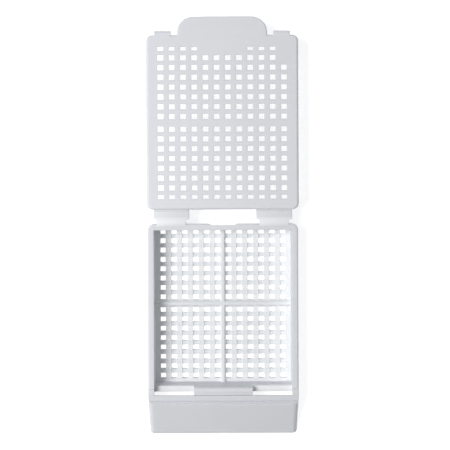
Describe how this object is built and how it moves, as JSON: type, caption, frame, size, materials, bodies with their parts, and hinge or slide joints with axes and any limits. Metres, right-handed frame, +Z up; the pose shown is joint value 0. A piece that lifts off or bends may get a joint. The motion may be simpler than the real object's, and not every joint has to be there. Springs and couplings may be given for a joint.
{
  "type": "tissue cassette",
  "caption": "Shallow perforated box with a sloped writing front and a perforated snap lid on film hinges, lying open; it holds small tissue samples while fluids pass through.",
  "frame": {"origin": "centre of the base's footprint, on its underside", "axes": "+Z up, +Y from the writing panel towards the hinge and the open lid, +X to the right of the writing panel seen from above"},
  "size_m": [0.0286, 0.0797, 0.0064],
  "materials": {
    "acetal": "white acetal copolymer, moulded, fine satin"
  },
  "bodies": {
    "base": {"base": "acetal", "left_hinge_film": "acetal", "right_hinge_film": "acetal"},
    "lid": {"lid": "acetal"}
  },
  "joints": [
    {"name": "lid_hinge", "type": "hinge", "parent": "base", "child": "lid", "pos_m": [0, 0.02226, 0.00573], "axis": [1, 0, 0], "range_deg": [0, 180], "deforming": ["left_hinge_film", "right_hinge_film"]}
  ]
}
